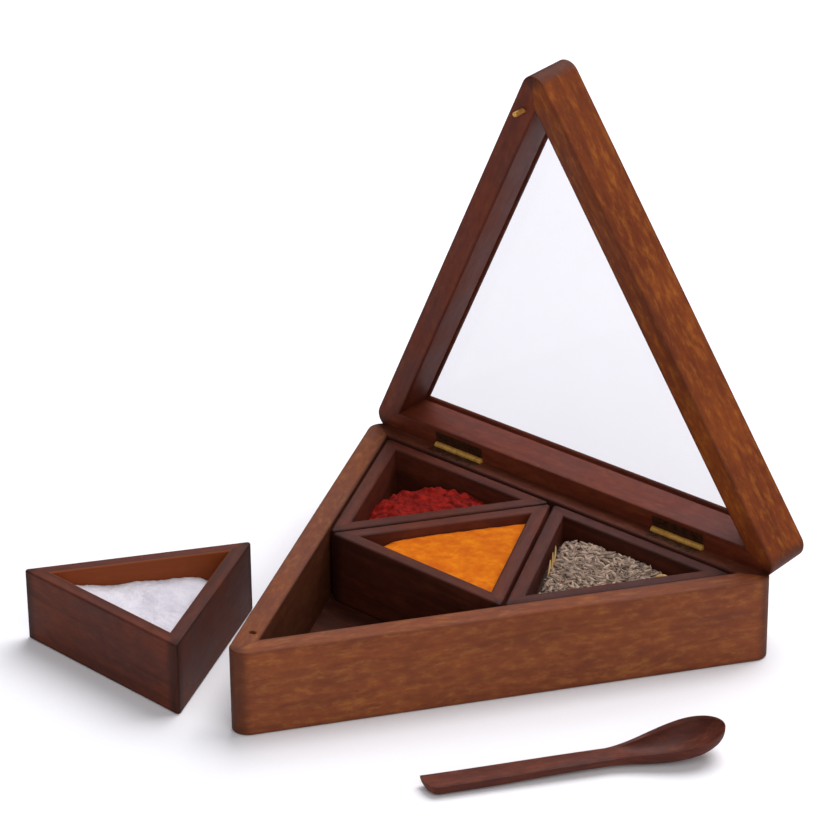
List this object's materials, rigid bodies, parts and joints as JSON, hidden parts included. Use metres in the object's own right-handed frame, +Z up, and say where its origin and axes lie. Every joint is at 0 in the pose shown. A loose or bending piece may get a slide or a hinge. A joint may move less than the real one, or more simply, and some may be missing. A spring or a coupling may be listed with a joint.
{
  "type": "spice box",
  "caption": "Triangular wooden spice box with mitred walls, a hinged glass lid open on brass butt hinges, loose triangular cups of spice and a small wooden spoon.",
  "frame": {"origin": "centre of the box's triangular underside, on the surface it stands on", "axes": "+Z up; +Y towards the hinged back side; the front corner of the triangle points to -Y"},
  "size_m": [0.2528, 0.2031, 0.2127],
  "materials": {
    "box_wood": "satin oiled sheesham",
    "lid_wood": "satin oiled sheesham",
    "cup_wood": "satin dark sheesham",
    "spoon_wood": "satin dark sheesham",
    "brass": "aged brass",
    "glass": "clear float glass",
    "chilli": "coarse red powder",
    "turmeric": "fine yellow powder",
    "cumin": "dry seeds",
    "salt": "fine white grains"
  },
  "bodies": {
    "box": {"box_right_wall": "box_wood", "box_left_wall": "box_wood", "box_back_wall": "box_wood", "base_panel": "box_wood", "left_hinge_box_leaf": "brass", "right_hinge_box_leaf": "brass", "left_hinge_pin": "brass", "right_hinge_pin": "brass", "box_leaf_screws": "brass"},
    "lid": {"lid_right_rail": "lid_wood", "lid_left_rail": "lid_wood", "lid_back_rail": "lid_wood", "lid_glass": "glass", "left_hinge_lid_leaf": "brass", "right_hinge_lid_leaf": "brass", "lid_leaf_screws": "brass", "lid_locating_pin": "brass"},
    "chilli_cup": {"chilli_cup_right_wall": "cup_wood", "chilli_cup_left_wall": "cup_wood", "chilli_cup_back_wall": "cup_wood", "chilli_cup_floor": "cup_wood", "chilli_powder": "chilli"},
    "turmeric_cup": {"turmeric_cup_right_wall": "cup_wood", "turmeric_cup_left_wall": "cup_wood", "turmeric_cup_back_wall": "cup_wood", "turmeric_cup_floor": "cup_wood", "turmeric_powder": "turmeric"},
    "cumin_cup": {"cumin_cup_right_wall": "cup_wood", "cumin_cup_left_wall": "cup_wood", "cumin_cup_back_wall": "cup_wood", "cumin_cup_floor": "cup_wood", "cumin_seeds": "cumin"},
    "salt_cup": {"salt_cup_right_wall": "cup_wood", "salt_cup_left_wall": "cup_wood", "salt_cup_back_wall": "cup_wood", "salt_cup_floor": "cup_wood", "salt_heap": "salt"},
    "spoon": {"spoon": "spoon_wood"}
  },
  "joints": [
    {"name": "lid_hinge", "type": "hinge", "parent": "box", "child": "lid", "pos_m": [0, 0.05987, 0.0336], "axis": [-1, 0, 0], "range_deg": [-83.25, 0]},
    {"name": "chilli_cup_lift", "type": "slide", "parent": "box", "child": "chilli_cup", "axis": [0, 0, 1], "range_m": [0, 0.055]},
    {"name": "turmeric_cup_lift", "type": "slide", "parent": "box", "child": "turmeric_cup", "axis": [0, 0, 1], "range_m": [0, 0.055]},
    {"name": "cumin_cup_lift", "type": "slide", "parent": "box", "child": "cumin_cup", "axis": [0, 0, 1], "range_m": [0, 0.055]},
    {"name": "salt_cup_lift", "type": "slide", "parent": "box", "child": "salt_cup", "axis": [0, 0, 1], "range_m": [0, 0.055]},
    {"name": "spoon_lift", "type": "slide", "parent": "box", "child": "spoon", "axis": [0, 0, 1], "range_m": [0, 0.055]}
  ]
}
